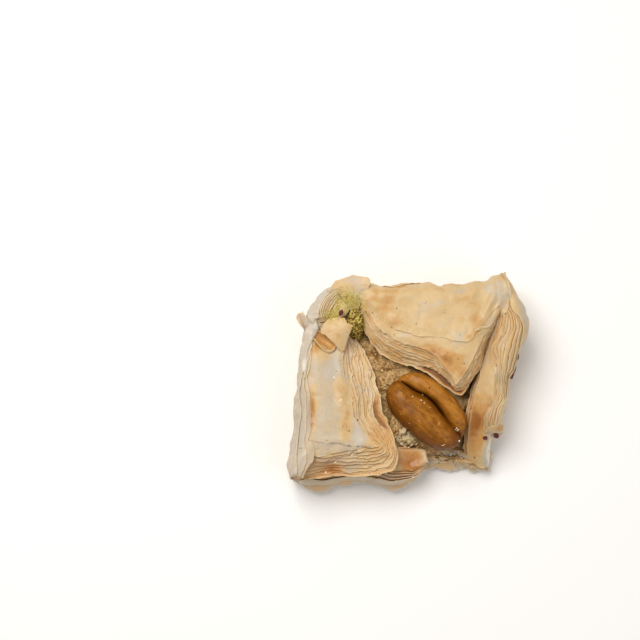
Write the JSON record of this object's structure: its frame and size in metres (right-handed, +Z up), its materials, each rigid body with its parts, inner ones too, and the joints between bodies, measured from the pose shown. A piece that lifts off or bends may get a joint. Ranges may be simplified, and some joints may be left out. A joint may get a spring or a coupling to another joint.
{
  "type": "baklava piece",
  "caption": "Square open parcel of folded phyllo sheets over ground nuts, with a split roasted nut in the opening between its flaps.",
  "frame": {"origin": "on the resting face, under the middle of the parcel", "axes": "+Z up out of the opening, +Y towards the broad flap that hangs over the filling, +X towards the steep narrow flap"},
  "size_m": [0.0593, 0.0528, 0.02],
  "materials": {
    "phyllo": "crisp, flaky, golden",
    "nut_filling": "coarse ground paste",
    "roasted_nut": "smooth, syrup glazed",
    "pistachio": "ground",
    "petal": "dried petal",
    "syrup": "clear sugar syrup"
  },
  "bodies": {
    "root": {"pastry": "phyllo", "filling": "nut_filling", "nut_half_upper": "roasted_nut", "nut_half_lower": "roasted_nut"}
  },
  "joints": []
}
